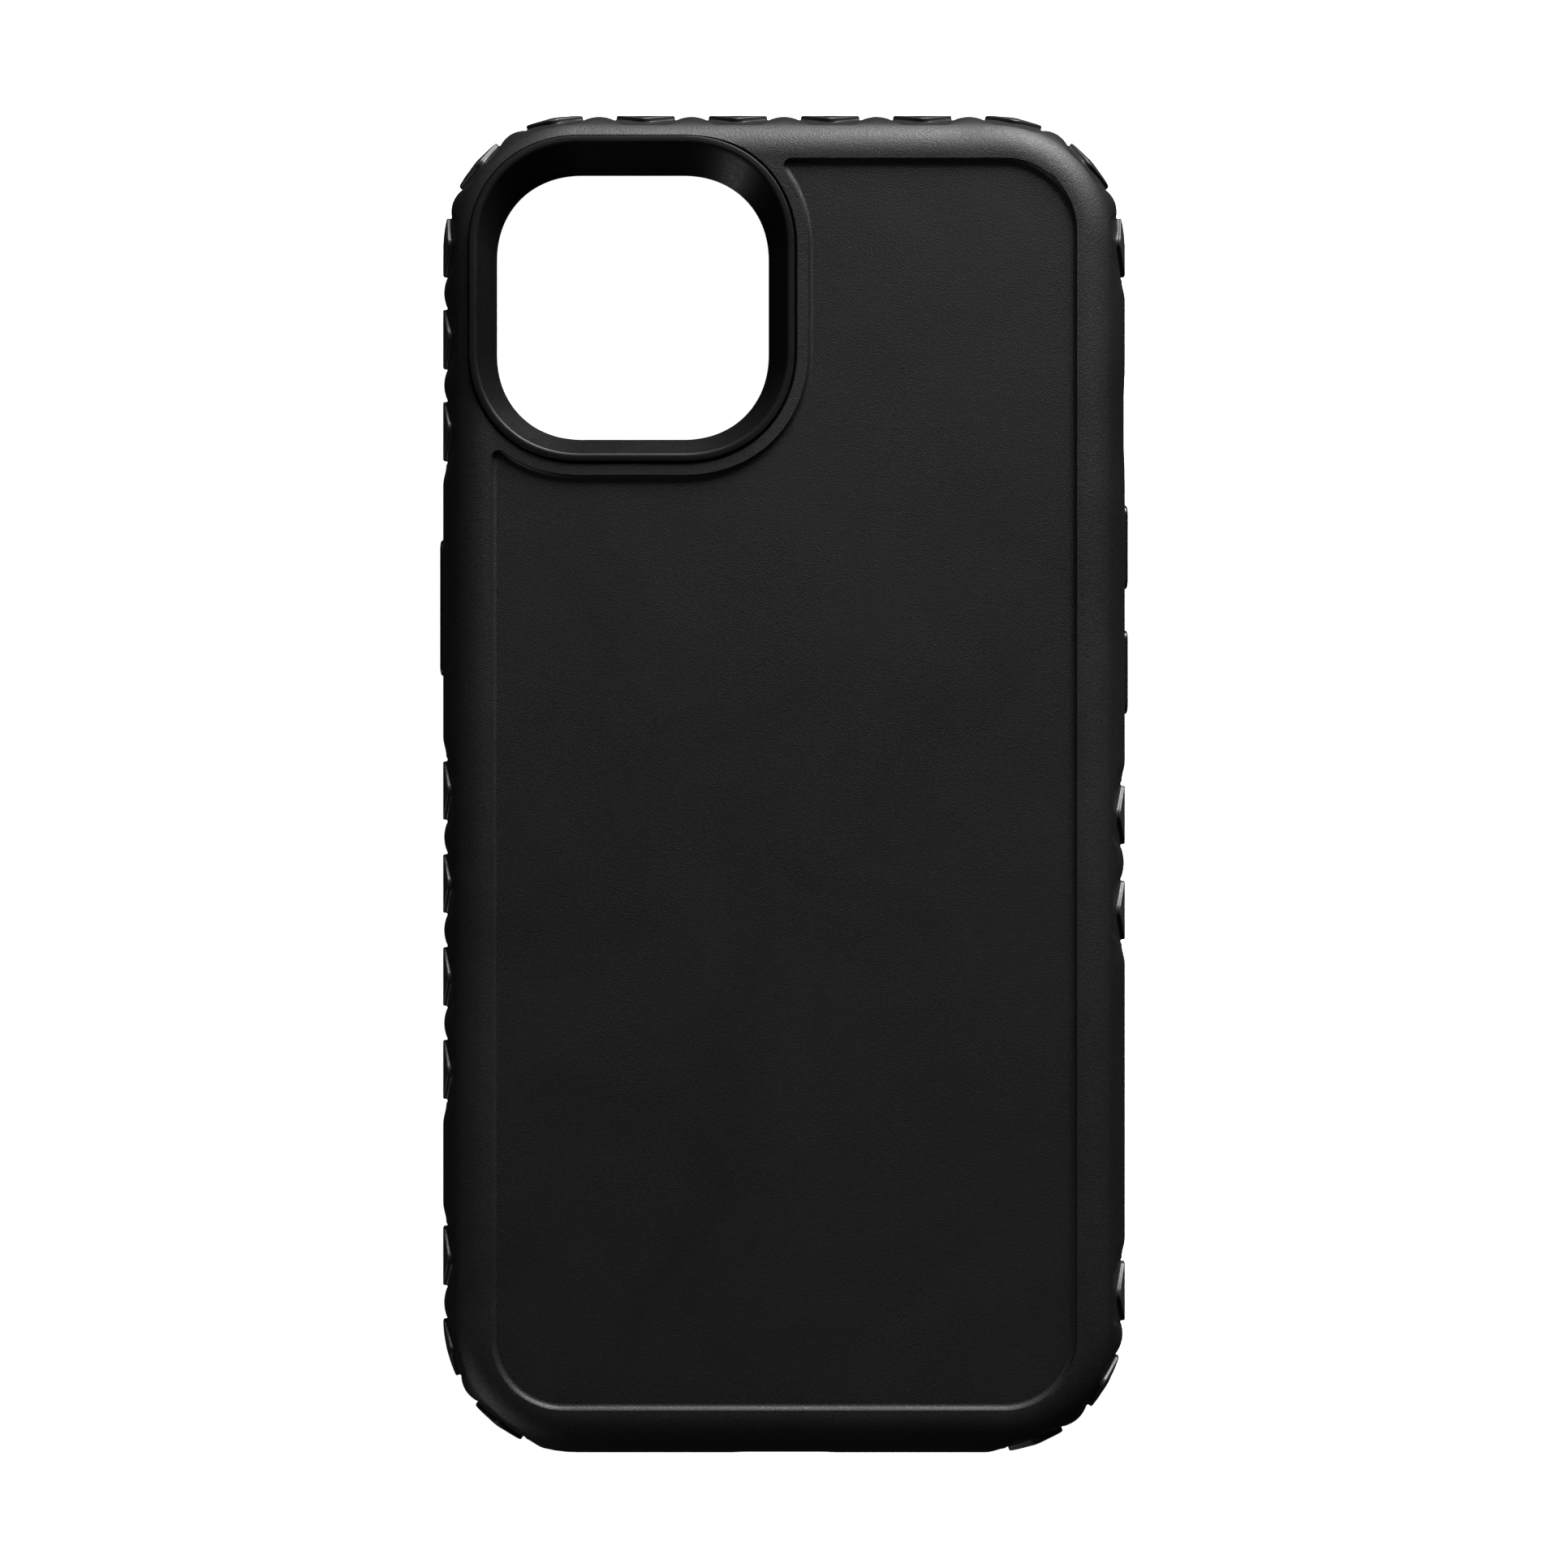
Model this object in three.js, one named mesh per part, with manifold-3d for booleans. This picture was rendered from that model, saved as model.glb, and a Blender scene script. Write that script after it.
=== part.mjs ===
// A rugged two-layer case for a slab phone of 146.7 x 71.5 x 7.4 mm, in millimetres.
// It lies on its screen-side rim: +Z is the way the back faces, +Y is towards the phone's top edge, and the
// origin is at the middle of the footprint. Seen from above, the camera window is at the top left, the side
// button is on the left (-X) and the volume buttons are on the right (+X).
import * as THREE from "three";
import { mergeVertices } from "three/addons/utils/BufferGeometryUtils.js";
import Module from "manifold-3d";

const wasm = await Module();
wasm.setup();

// ---- driving dimensions -------------------------------------------------------------------------------

const PHONE = { width: 71.5, length: 146.7 };
const WALL = 3.5; // from the phone's side to the case's outer face
const HALF_WIDTH = PHONE.width / 2 + WALL;
const HALF_LENGTH = PHONE.length / 2 + WALL;
const CORNER = 15.5; // plan radius of the outer corners
const CORNER_STEPS = 8;
const ROUND = 2; // power of a circular corner
const SQUIRCLE = 2.15; // power of the fuller corners around the camera

// Heights above the surface that the case lies on.
const LIP_TOP = 1.5; // inner face of the lip around the screen
const BAY_TOP = 9.2; // the phone's back rests against this
const LINER_TOP = 10;
const FLANGE_UNDER = 10.7; // underside of the frame's back flange
const PANEL_TOP = 11.7;
const FRAME_TOP = 12.2;
const BEZEL_TOP = 12.5;
const STACK_GAP = 0.1; // between layers that rest on each other
const FLANGE = 0.5; // thickness of the hidden flanges between the liner and the frame
const OVERRUN = 1; // how far a cutter runs past a face that it opens

// Insets from the outer face.
const SHELL_INSET = 2.2; // the frame's inner face
const LINER_INSET = 2.35;
const BAY_INSET = 3.3;
const FLANGE_INSET = 3.8; // the hidden flanges stay inside this
const LIP_INSET = 5;
const SHELL_CHAMFER = 1.3;
const LINER_CHAMFER = 1.2;
const LINER_GAP = 0.15; // from the liner's rim down to the lip

const BACK_ROUND = { inset: 5.6, height: 6, steps: 6 };
const FRONT_ROUND = { inset: 1.8, height: 1.8, steps: 2 };

const PANEL = { halfX: 33.1, halfY: 70.75, corner: 8.2, gap: 0.15 }; // the recess that shows the back panel
const CAMERA = { x: -17.3, y: 55, half: 18.9, corner: 13 }; // the frame's hole for the bezel
const WINDOW = { x: -17.3, y: 54.6, halfX: 15.5, halfY: 15.1, corner: 9.8 };
const COLLAR = 1.6; // width of the raised collar between the bezel's hole and the panel's recess
const COLLAR_HOLD = 0.6; // how far the bezel's hidden flange reaches under the collar
const PANEL_HOLD = 1.5; // how far the panel's hidden flange reaches under the rim
const BEZEL = { gap: 0.25, crest: 0.75, ease: 0.3, skirt: 0.8 };

const LUG = { middle: 6.6, halfLength: 3.35, reach: 3.2, blunt: 0.8, tip: 0.4, depth: 0.75 };
const POCKET = { halfLength: 3.95, reach: 4.5, blunt: 2, tip: 2.3, depth: 0.5 };
const LUG_GAP = 0.15;
const STEM = { halfLength: 1.5, low: 4.4, high: 8.2 };
const STRIP = { low: 3, high: 8.3, outer: 1.45, inner: 2.1, end: 4.3, facet: 5 };
const TOP_PITCH = 10.6;
const LEFT = { first: -0.75, pitch: 10.7 };
const RIGHT = { first: -3.55, pitch: 10.95 };

const BUTTON = { middle: 5.4, height: 3.4, corner: 1.2, proud: 0.35, gap: 0.2, ease: 0.3 };
const BUTTON_FLANGE = { margin: 1.1, outer: 1.5, inner: 2.05 };
const BUTTON_NUB = { inner: 3.1, height: 1.8, share: 0.45 };
const BUTTONS = [
  { name: "side_button", side: -1, y: 20.3, length: 15.7 },
  { name: "volume_up_button", side: 1, y: 27.3, length: 9.7 },
  { name: "volume_down_button", side: 1, y: 12.9, length: 9.7 },
];
const SWITCH = { y: 41.5, length: 9.3, low: 2.6, high: 8.2, corner: 2 };
const SWITCH_DIP = { depth: 0.25, flat: 8, rate: 12 };
const PORT = { width: 14.2, low: 2, high: 8.6, corner: 3 };
const SPEAKER = { x: 14.6, length: 10, height: 2.4, corner: 1.15 };
const BEYOND = 5; // how far a cutter through the walls runs past them

// ---- solids -------------------------------------------------------------------------------------------

// The closed geometry as a solid that can be joined and cut.
function solidOf(geometry) {
  const bare = geometry.clone();
  bare.deleteAttribute("normal");
  bare.deleteAttribute("uv");
  const merged = mergeVertices(bare, 1e-4);
  return new wasm.Manifold(
    new wasm.Mesh({
      numProp: 3,
      vertProperties: new Float32Array(merged.attributes.position.array),
      triVerts: new Uint32Array(merged.index.array),
    }),
  );
}

// The solid as a geometry again.
function geometryOf(solid) {
  const mesh = solid.getMesh();
  const geometry = new THREE.BufferGeometry();
  geometry.setAttribute("position", new THREE.BufferAttribute(new Float32Array(mesh.vertProperties), 3));
  geometry.setIndex(new THREE.BufferAttribute(new Uint32Array(mesh.triVerts), 1));
  geometry.computeVertexNormals();
  return geometry;
}

const joined = (solids) => solids.reduce((all, next) => all.add(next));

// A quarter of a superellipse, run clockwise about its centre from the given heading.
class RoundedCorner extends THREE.Curve {
  constructor(centre, radius, heading, power) {
    super();
    Object.assign(this, { centre, radius, heading, power });
  }

  getPoint(t, target = new THREE.Vector2()) {
    const angle = (t * Math.PI) / 2;
    const along = this.radius * Math.sin(angle) ** (2 / this.power);
    const out = this.radius * Math.cos(angle) ** (2 / this.power);
    target.set(along, out).rotateAround(new THREE.Vector2(), -this.heading);
    return target.add(this.centre);
  }
}

// A rectangle with rounded corners, clockwise from the middle of its +Y side.
function roundedBox(halfX, halfY, corner, power = ROUND, x = 0, y = 0) {
  const shape = new THREE.Shape();
  const at = (dx, dy) => new THREE.Vector2(x + dx, y + dy);
  const inX = halfX - corner;
  const inY = halfY - corner;
  shape.curves = [
    new THREE.LineCurve(at(0, halfY), at(inX, halfY)),
    new RoundedCorner(at(inX, inY), corner, 0, power),
    new THREE.LineCurve(at(halfX, inY), at(halfX, -inY)),
    new RoundedCorner(at(inX, -inY), corner, Math.PI / 2, power),
    new THREE.LineCurve(at(inX, -halfY), at(-inX, -halfY)),
    new RoundedCorner(at(-inX, -inY), corner, Math.PI, power),
    new THREE.LineCurve(at(-halfX, -inY), at(-halfX, inY)),
    new RoundedCorner(at(-inX, inY), corner, (3 * Math.PI) / 2, power),
    new THREE.LineCurve(at(-inX, halfY), at(0, halfY)),
  ];
  return shape;
}

// The case's own outline moved in, and the outlines of the panel's recess and of the camera's two openings.
const outline = (inset) => roundedBox(HALF_WIDTH - inset, HALF_LENGTH - inset, CORNER - inset);
const panelShape = (grow) => roundedBox(PANEL.halfX + grow, PANEL.halfY + grow, PANEL.corner + grow);
const cameraShape = (grow) =>
  roundedBox(CAMERA.half + grow, CAMERA.half + grow, CAMERA.corner + grow, SQUIRCLE, CAMERA.x, CAMERA.y);
const windowShape = (grow) =>
  roundedBox(WINDOW.halfX + grow, WINDOW.halfY + grow, WINDOW.corner + grow, SQUIRCLE, WINDOW.x, WINDOW.y);

// A straight slab of a shape between two heights.
function slab(shape, low, high) {
  const options = { depth: high - low, bevelEnabled: false, curveSegments: CORNER_STEPS };
  return solidOf(new THREE.ExtrudeGeometry(shape, options).translate(0, 0, low));
}

// A slab whose two rims are rounded, or chamfered in one step: inset is in plan, height along Z.
function easedSlab(shape, low, high, { inset, height, steps }) {
  const options = {
    depth: high - low - 2 * height,
    bevelThickness: height,
    bevelSize: inset,
    bevelOffset: -inset,
    bevelSegments: steps,
    curveSegments: CORNER_STEPS,
  };
  return solidOf(new THREE.ExtrudeGeometry(shape, options).translate(0, 0, low + height));
}

// The case's outer form, moved in: a slab with a wide round to the back and a small round to the front.
function outerForm(inset) {
  const shape = outline(inset);
  const top = FRAME_TOP - inset;
  const beyond = 3 * BACK_ROUND.height;
  const back = easedSlab(shape, -beyond, top, BACK_ROUND);
  const front = easedSlab(shape, inset, top + beyond, FRONT_ROUND);
  return back.intersect(front);
}

// ---- features of the side walls -----------------------------------------------------------------------

// A rounded rectangle in the (along, up) plane of a side wall.
function wallShape(length, low, high, corner) {
  const shape = new THREE.Shape();
  const inX = length / 2 - corner;
  shape.absarc(inX, low + corner, corner, -Math.PI / 2, 0);
  shape.absarc(inX, high - corner, corner, 0, Math.PI / 2);
  shape.absarc(-inX, high - corner, corner, Math.PI / 2, Math.PI);
  shape.absarc(-inX, low + corner, corner, Math.PI, 1.5 * Math.PI);
  return shape;
}

// A rectangle in the same plane.
function wallBox(halfLength, low, high) {
  const corners = [
    [halfLength, low],
    [halfLength, high],
    [-halfLength, high],
    [-halfLength, low],
  ];
  return new THREE.Shape(corners.map(([along, up]) => new THREE.Vector2(along, up)));
}

// Extrudes a wall shape along an outward normal, between two distances outward of the given point.
function wallPrism(shape, [point, normal], inner, outer, ease = 0) {
  const options = {
    depth: outer - inner - 2 * ease,
    bevelEnabled: ease > 0,
    bevelThickness: ease,
    bevelSize: ease,
    bevelOffset: -ease,
    bevelSegments: 1,
    curveSegments: 3,
  };
  const geometry = new THREE.ExtrudeGeometry(shape, options).translate(0, 0, inner + ease);
  const up = new THREE.Vector3(0, 0, 1);
  const out = new THREE.Vector3(normal.x, normal.y, 0);
  const along = new THREE.Vector3().crossVectors(up, out);
  const turn = new THREE.Matrix4().makeBasis(along, up, out).setPosition(point.x, point.y, 0);
  return solidOf(geometry.applyMatrix4(turn));
}

// The middle of a feature on a side wall or on the bottom wall, with its outward normal.
const sideFace = (side, y) => [new THREE.Vector2(side * HALF_WIDTH, y), new THREE.Vector2(side, 0)];
const bottomFace = (x) => [new THREE.Vector2(x, -HALF_LENGTH), new THREE.Vector2(0, -1)];

// The openings that the phone needs in both layers: ring switch, charging port and the two speaker slots.
function portCutters() {
  const inner = -BAY_INSET - BEYOND;
  const middle = (PORT.low + PORT.high) / 2;
  const half = SPEAKER.height / 2;
  const ringSwitch = wallShape(SWITCH.length, SWITCH.low, SWITCH.high, SWITCH.corner);
  const port = wallShape(PORT.width, PORT.low, PORT.high, PORT.corner);
  const speaker = wallShape(SPEAKER.length, middle - half, middle + half, SPEAKER.corner);
  return joined([
    wallPrism(ringSwitch, sideFace(1, SWITCH.y), inner, BEYOND),
    wallPrism(port, bottomFace(0), inner, BEYOND),
    wallPrism(speaker, bottomFace(-SPEAKER.x), inner, BEYOND),
    wallPrism(speaker, bottomFace(SPEAKER.x), inner, BEYOND),
  ]);
}

// The shallow dip that lets a fingertip reach the ring switch.
function switchDip() {
  const { depth, flat, rate } = SWITCH_DIP;
  const near = flat / 2;
  const far = near + rate * (depth + OVERRUN);
  const corners = [
    [HALF_WIDTH - depth, -near],
    [HALF_WIDTH + OVERRUN, -far],
    [HALF_WIDTH + OVERRUN, far],
    [HALF_WIDTH - depth, near],
  ];
  const shape = new THREE.Shape(corners.map(([x, y]) => new THREE.Vector2(x, SWITCH.y + y)));
  return slab(shape, -BEYOND, FRAME_TOP + BEYOND);
}

// ---- tread --------------------------------------------------------------------------------------------

const RING = outline(0);
const RING_LENGTH = RING.getLength();
const SIDE_TOP = HALF_LENGTH - CORNER; // where the straight sides start
const SIDE_START = HALF_WIDTH - CORNER + (CORNER * Math.PI) / 2;

// Stations are lengths along the outline from the middle of the top edge: down the right side they are
// positive, and down the left side they are negative.
const stationAt = (side, y) => side * (SIDE_START + SIDE_TOP - y);
const topLug = (index) => (index + 1 / 2) * TOP_PITCH;
const leftLug = (index) => stationAt(-1, LEFT.first - index * LEFT.pitch);
const rightLug = (index) => stationAt(1, RIGHT.first - index * RIGHT.pitch);
const TREADS = [
  { name: "tread_strip_top", stations: [-7, -6, -5, -4, -3, -2, -1, 0, 1, 2, 3, 4].map(topLug) },
  { name: "tread_strip_left", stations: [0, 1, 2, 3].map(leftLug) },
  { name: "tread_strip_left_foot", stations: [5, 6, 7].map(leftLug) },
  { name: "tread_strip_right", stations: [0, 1].map(rightLug) },
  { name: "tread_strip_right_foot", stations: [5, 6, 7].map(rightLug) },
];

// The point and outward normal of the outline at a station.
function outlineAt(station) {
  const share = station / RING_LENGTH;
  const u = share - Math.floor(share);
  const tangent = RING.getTangentAt(u);
  return [RING.getPointAt(u), new THREE.Vector2(-tangent.y, tangent.x)];
}

// A lug's eight-sided outline with blunt ends and tips, grown by a margin.
function lozenge({ halfLength, reach, blunt, tip }, margin = 0) {
  const half = halfLength + margin;
  const tall = reach + margin;
  const corners = [
    [half, blunt],
    [tip, tall],
    [-tip, tall],
    [-half, blunt],
    [-half, -blunt],
    [-tip, -tall],
    [tip, -tall],
    [half, -blunt],
  ];
  return new THREE.Shape(corners.map(([along, up]) => new THREE.Vector2(along, LUG.middle + up)));
}

// Prisms of one wall shape at every station, between two insets.
const prisms = (shape, stations, inner, outer) =>
  joined(stations.map((station) => wallPrism(shape, outlineAt(station), -inner, -outer)));

// Prisms cut away below a depth under the outer form.
const capped = (shape, stations, depth) => prisms(shape, stations, WALL, -BEYOND).subtract(outerForm(depth));

// A stretch of a thin band that follows the outline inside the wall.
function web(stations, margin, inner, outer) {
  const low = Math.min(...stations) - STRIP.end - margin;
  const high = Math.max(...stations) + STRIP.end + margin;
  const steps = Math.ceil((high - low) / STRIP.facet);
  const rail = (inset) =>
    Array.from({ length: steps + 1 }, (_, i) => {
      const [point, normal] = outlineAt(low + ((high - low) * i) / steps);
      return point.clone().addScaledVector(normal, -inset);
    });
  const stretch = new THREE.Shape([...rail(-OVERRUN), ...rail(WALL + OVERRUN).reverse()]);
  const band = slab(outline(outer), STRIP.low - margin, STRIP.high + margin);
  const hollow = slab(outline(inner), 0, FRAME_TOP);
  return band.subtract(hollow).intersect(slab(stretch, 0, FRAME_TOP));
}

// One soft strip of the tread: lugs outside the wall, stems through it and a web inside it.
function treadStrip({ stations }) {
  const stem = wallBox(STEM.halfLength, STEM.low, STEM.high);
  return joined([
    capped(lozenge(LUG), stations, LUG.depth).intersect(outerForm(0)),
    prisms(stem, stations, STRIP.inner - STACK_GAP, LUG.depth - STACK_GAP),
    web(stations, 0, STRIP.inner, STRIP.outer),
  ]);
}

// What a strip takes out of the frame.
function treadCutter({ stations }) {
  const stem = wallBox(STEM.halfLength + LUG_GAP, STEM.low - LUG_GAP, STEM.high + LUG_GAP);
  return joined([
    capped(lozenge(POCKET), stations, POCKET.depth),
    capped(lozenge(LUG, LUG_GAP), stations, LUG.depth + STACK_GAP),
    prisms(stem, stations, SHELL_INSET + STACK_GAP, LUG.depth),
    web(stations, LUG_GAP, SHELL_INSET + STACK_GAP, STRIP.outer - STACK_GAP),
  ]);
}

// ---- buttons ------------------------------------------------------------------------------------------

// A button's outline, grown by a margin.
function buttonShape(length, margin) {
  const half = BUTTON.height / 2 + margin;
  return wallShape(length + 2 * margin, BUTTON.middle - half, BUTTON.middle + half, BUTTON.corner + margin);
}

// A key that slides in its window, with a flange that keeps it in and a nub that reaches the phone's own key.
function button({ side, y, length }) {
  const face = sideFace(side, y);
  const { margin, outer, inner } = BUTTON_FLANGE;
  const nubHalf = BUTTON_NUB.height / 2;
  const nub = wallBox((length * BUTTON_NUB.share) / 2, BUTTON.middle - nubHalf, BUTTON.middle + nubHalf);
  return joined([
    wallPrism(buttonShape(length, 0), face, -inner, BUTTON.proud, BUTTON.ease),
    wallPrism(buttonShape(length, margin), face, -inner, -outer),
    wallPrism(nub, face, -BUTTON_NUB.inner, -inner + STACK_GAP),
  ]);
}

// The room for a button's flange, from inside the case out to the frame's window.
const flangeRoom = ({ side, y, length }) =>
  wallPrism(
    buttonShape(length, BUTTON_FLANGE.margin + BUTTON.gap),
    sideFace(side, y),
    -BAY_INSET - OVERRUN,
    -BUTTON_FLANGE.outer + STACK_GAP,
  );

// The button's window in the frame's outer face.
const buttonWindow = ({ side, y, length }) =>
  wallPrism(buttonShape(length, BUTTON.gap), sideFace(side, y), -WALL, BEYOND);

// ---- the layers ---------------------------------------------------------------------------------------

function outerFrame() {
  const chamfer = { inset: SHELL_CHAMFER, height: SHELL_CHAMFER, steps: 1 };
  const cavity = easedSlab(outline(SHELL_INSET), LIP_TOP - BEYOND, FLANGE_UNDER, chamfer)
    .intersect(slab(outline(0), LIP_TOP, FRAME_TOP));
  const screenWindow = slab(outline(LIP_INSET), -OVERRUN, LIP_TOP + OVERRUN);
  const low = FLANGE_UNDER - OVERRUN;
  const high = FRAME_TOP + OVERRUN;
  const collar = slab(cameraShape(COLLAR), low - OVERRUN, high + OVERRUN);
  const recess = slab(panelShape(0), low, high).subtract(collar);
  const cameraHole = slab(cameraShape(0), low, high);
  return outerForm(0).subtract(
    joined([
      cavity,
      screenWindow,
      recess,
      cameraHole,
      switchDip(),
      portCutters(),
      ...BUTTONS.map(flangeRoom),
      ...BUTTONS.map(buttonWindow),
      ...TREADS.map(treadCutter),
    ]),
  );
}

function backPanel() {
  const low = LINER_TOP + STACK_GAP;
  const face = slab(panelShape(-PANEL.gap), low, PANEL_TOP)
    .subtract(slab(cameraShape(COLLAR + PANEL.gap), low - OVERRUN, PANEL_TOP + OVERRUN));
  const flange = slab(panelShape(PANEL_HOLD), low, low + FLANGE)
    .subtract(slab(cameraShape(COLLAR_HOLD), low - OVERRUN, PANEL_TOP + OVERRUN));
  return face.add(flange);
}

function innerLiner() {
  const low = LIP_TOP + LINER_GAP;
  const chamfer = { inset: LINER_CHAMFER, height: LINER_CHAMFER, steps: 1 };
  const outside = easedSlab(outline(LINER_INSET), low - BEYOND, LINER_TOP, chamfer)
    .intersect(slab(outline(0), low, FRAME_TOP));
  return outside.subtract(
    joined([
      slab(outline(BAY_INSET), low - OVERRUN, BAY_TOP),
      slab(windowShape(BEZEL.skirt + BEZEL.gap), BAY_TOP - OVERRUN, LINER_TOP + OVERRUN),
      portCutters(),
      ...BUTTONS.map(flangeRoom),
    ]),
  );
}

// The camera's clear opening: it widens from the window to the bezel's crest.
function cameraFlare() {
  const low = BAY_TOP - OVERRUN;
  const high = BEZEL_TOP + OVERRUN;
  const crest = CAMERA.half - BEZEL.gap - BEZEL.crest;
  const geometry = new THREE.ExtrudeGeometry(windowShape(0), {
    depth: high - low,
    bevelEnabled: false,
    curveSegments: CORNER_STEPS,
  }).translate(-WINDOW.x, -WINDOW.y, low);
  const position = geometry.attributes.position;
  for (let i = 0; i < position.count; i++) {
    const share = (position.getZ(i) - BAY_TOP) / (BEZEL_TOP - BAY_TOP);
    const x = position.getX(i) * (1 + share * (crest / WINDOW.halfX - 1));
    const y = position.getY(i) * (1 + share * (crest / WINDOW.halfY - 1));
    const midX = THREE.MathUtils.lerp(WINDOW.x, CAMERA.x, share);
    const midY = THREE.MathUtils.lerp(WINDOW.y, CAMERA.y, share);
    position.setXY(i, x + midX, y + midY);
  }
  return solidOf(geometry);
}

function cameraBezel() {
  const low = LINER_TOP + STACK_GAP;
  const ease = { inset: BEZEL.ease, height: BEZEL.ease, steps: 1 };
  const ring = easedSlab(cameraShape(-BEZEL.gap), low, BEZEL_TOP, ease);
  const flange = slab(cameraShape(COLLAR_HOLD - BEZEL.gap), low, low + FLANGE)
    .intersect(slab(outline(FLANGE_INSET), 0, FRAME_TOP));
  const skirt = slab(windowShape(BEZEL.skirt), BAY_TOP, low + FLANGE);
  return joined([ring, flange, skirt]).subtract(cameraFlare());
}

// ---- the scene graph ----------------------------------------------------------------------------------

const grainedShell = new THREE.MeshStandardMaterial({ color: 0x262626, roughness: 0.52, metalness: 0 });
const grainedPanel = new THREE.MeshStandardMaterial({ color: 0x232323, roughness: 0.6, metalness: 0 });
const softLiner = new THREE.MeshStandardMaterial({ color: 0x1c1c1c, roughness: 0.75, metalness: 0 });
const smoothBezel = new THREE.MeshStandardMaterial({ color: 0x161616, roughness: 0.4, metalness: 0 });
const softTread = new THREE.MeshStandardMaterial({ color: 0x1a1a1a, roughness: 0.35, metalness: 0 });
const glossKey = new THREE.MeshStandardMaterial({ color: 0x151515, roughness: 0.25, metalness: 0 });

const phoneCase = new THREE.Group();

function addPiece(name, solid, material) {
  const mesh = new THREE.Mesh(geometryOf(solid), material);
  mesh.name = name;
  phoneCase.add(mesh);
}

addPiece("outer_frame", outerFrame(), grainedShell);
addPiece("back_panel", backPanel(), grainedPanel);
addPiece("inner_liner", innerLiner(), softLiner);
addPiece("camera_bezel", cameraBezel(), smoothBezel);
TREADS.forEach((tread) => addPiece(tread.name, treadStrip(tread), softTread));
BUTTONS.forEach((key) => addPiece(key.name, button(key), glossKey));

export default phoneCase;
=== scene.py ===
"""Looks of a rugged two-layer phone case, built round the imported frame.

Shapes are worked out in millimetres in the frame's own axes and scaled to metres when a mesh is made.
The case lies on its screen-side lip: +Z is out of its back and +Y is towards the camera end."""

import math

import bmesh
import bpy
import numpy as np
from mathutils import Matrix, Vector


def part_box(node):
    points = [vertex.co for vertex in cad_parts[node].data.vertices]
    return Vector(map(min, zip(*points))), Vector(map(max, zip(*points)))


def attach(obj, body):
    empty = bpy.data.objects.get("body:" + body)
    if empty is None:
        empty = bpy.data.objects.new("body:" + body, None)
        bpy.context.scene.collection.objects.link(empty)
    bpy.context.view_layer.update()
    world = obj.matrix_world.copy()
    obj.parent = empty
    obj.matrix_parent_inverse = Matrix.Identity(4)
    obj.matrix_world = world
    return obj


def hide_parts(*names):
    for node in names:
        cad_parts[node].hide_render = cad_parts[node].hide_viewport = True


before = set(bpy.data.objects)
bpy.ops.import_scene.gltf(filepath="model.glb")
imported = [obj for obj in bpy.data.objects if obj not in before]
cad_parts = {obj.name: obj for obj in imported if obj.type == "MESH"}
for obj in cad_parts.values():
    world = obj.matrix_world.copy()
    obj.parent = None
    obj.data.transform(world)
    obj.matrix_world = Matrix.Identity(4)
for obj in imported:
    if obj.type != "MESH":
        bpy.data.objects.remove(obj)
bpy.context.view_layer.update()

MM = 0.001


def box_mm(node):
    """A CAD node's lowest and highest corners in millimetres."""
    low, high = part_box(node)
    return np.array(low) / MM, np.array(high) / MM


# ---- driving dimensions, in millimetres ----------------------------------------------------------------

# Read from the CAD model.
HALF_WIDTH, HALF_LENGTH, FRAME_TOP = box_mm("outer_frame")[1]
LINER_TOP = box_mm("inner_liner")[1][2]
PANEL_BOTTOM = box_mm("back_panel")[0][2]
PANEL_TOP = box_mm("back_panel")[1][2]
BEZEL_TOP = box_mm("camera_bezel")[1][2]
BAY_TOP = box_mm("camera_bezel")[0][2]

# The frame's outer form and its inside.
CORNER = 15.5
CROWN_INSET = 5.6
CROWN_HEIGHT = 6.0
CROWN_START = FRAME_TOP - CROWN_HEIGHT
FRONT_ROUND = 1.8
SHELL_INSET = 2.2
SHELL_CHAMFER = 1.3
LIP_INSET = 5.0
LIP_TOP = 1.5
FLANGE_UNDER = 10.7

# The recessed panel.
PANEL_HALF_X = 33.1
PANEL_HALF_Y = 70.75
PANEL_CORNER = 8.2
FLANGE_THICK = 0.5

# The ring round the camera, the frame's collar round it, and the clear window in it.
SQUIRCLE = 2.15
BEZEL_HALF = 18.4
BEZEL_EASE = (0.35, 0.4)  # how far the part that is seen stands inside the bezel's CAD box, across and along
BEZEL_CORNER = 12.75
BEZEL_GAP = 0.2
CAMERA_X = box_mm("camera_bezel")[0][0] + BEZEL_EASE[0] + BEZEL_HALF
CAMERA_Y = box_mm("camera_bezel")[1][1] - BEZEL_EASE[1] - BEZEL_HALF
COLLAR = 1.35
WINDOW_X, WINDOW_Y = -17.25, 54.35
WINDOW_HALF_X, WINDOW_HALF_Y = 15.5, 15.05
WINDOW_CORNER = 9.8

# The tread: half lengths run along the wall, and reaches run up and down from the lugs' middle.
LUG_MIDDLE = 6.6
LUG_HALF = 3.35
LUG_REACH = 2.9
LUG_BLUNT = 0.7
LUG_TIP = 0.4
POCKET_HALF = 3.95
POCKET_REACH = 4.2
POCKET_DEPTH = 0.5
TOP_PITCH = 10.6
LEFT_FIRST, LEFT_PITCH = -0.75, 10.7
RIGHT_FIRST, RIGHT_PITCH = -3.55, 10.95

# The keys. The margin is how far a key's hidden flange stands out round it.
BUTTON_MIDDLE = 5.4
BUTTON_HEIGHT = 3.4
BUTTON_CORNER = 1.2
BUTTON_MARGIN = 1.1
BUTTON_GAP = 0.2

# The shallow dip in the right wall for the ring switch. The rate is its slopes' length over its depth.
SWITCH_Y = 41.5
DIP_DEPTH = 0.25
DIP_FLAT = 8.0
DIP_RATE = 12.0

PAST = 1.0  # how far a cutter runs past a face

# ---- plain geometry ------------------------------------------------------------------------------------


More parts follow.
